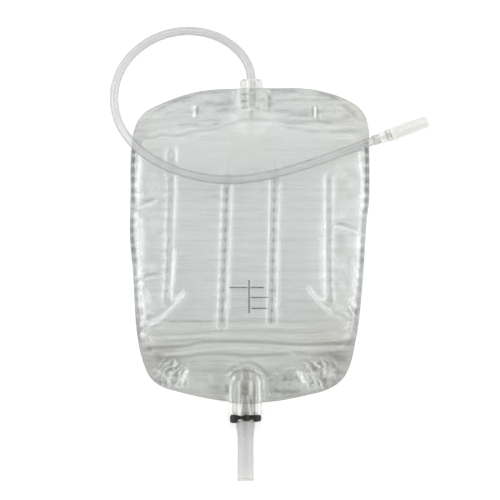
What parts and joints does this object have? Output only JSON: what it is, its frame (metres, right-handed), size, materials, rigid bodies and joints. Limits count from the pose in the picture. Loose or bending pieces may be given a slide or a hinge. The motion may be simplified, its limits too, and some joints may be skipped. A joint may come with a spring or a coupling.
{
  "type": "urine drainage bag",
  "caption": "Clear leg bag for urine with welded chambers, strap slots, an inlet tube with a capped connector, and a push-pull drain valve with a soft outlet tube.",
  "frame": {"origin": "under the middle of the bag and its outlet, on the surface that it lies on", "axes": "+Z out of the bag's front film, +Y from the outlet towards the inlet, +X to the right seen from the front"},
  "size_m": [0.2471, 0.3491, 0.0163],
  "materials": {
    "clear_film": "clear soft PVC film, embossed",
    "valve_film": "thin clear film",
    "clear_soft_pvc": "clear soft PVC",
    "clear_rigid": "clear rigid moulding",
    "white_cap": "white polythene",
    "dark_ring": "matt dark elastomer",
    "seal_rubber": "grey rubber",
    "milky_silicone": "soft milky translucent tube"
  },
  "bodies": {
    "bag": {"front_film": "clear_film", "back_film": "clear_film", "valve_leaf_front": "valve_film", "valve_leaf_back": "valve_film", "inlet_port": "clear_soft_pvc", "inlet_tube": "clear_soft_pvc", "tube_connector": "clear_rigid", "outlet_housing": "clear_rigid"},
    "valve": {"valve_plunger": "clear_rigid", "head_seal_ring": "seal_rubber", "piston_seal_ring": "seal_rubber", "grip_ring": "dark_ring", "outlet_tube": "milky_silicone"},
    "cap": {"connector_cap": "white_cap"}
  },
  "joints": [
    {"name": "valve_pull", "type": "slide", "parent": "bag", "child": "valve", "axis": [0, -1, 0], "range_m": [0, 0.008]},
    {"name": "cap_pull", "type": "slide", "parent": "bag", "child": "cap", "axis": [0.9397, 0.342, 0], "range_m": [0, 0.03]}
  ]
}
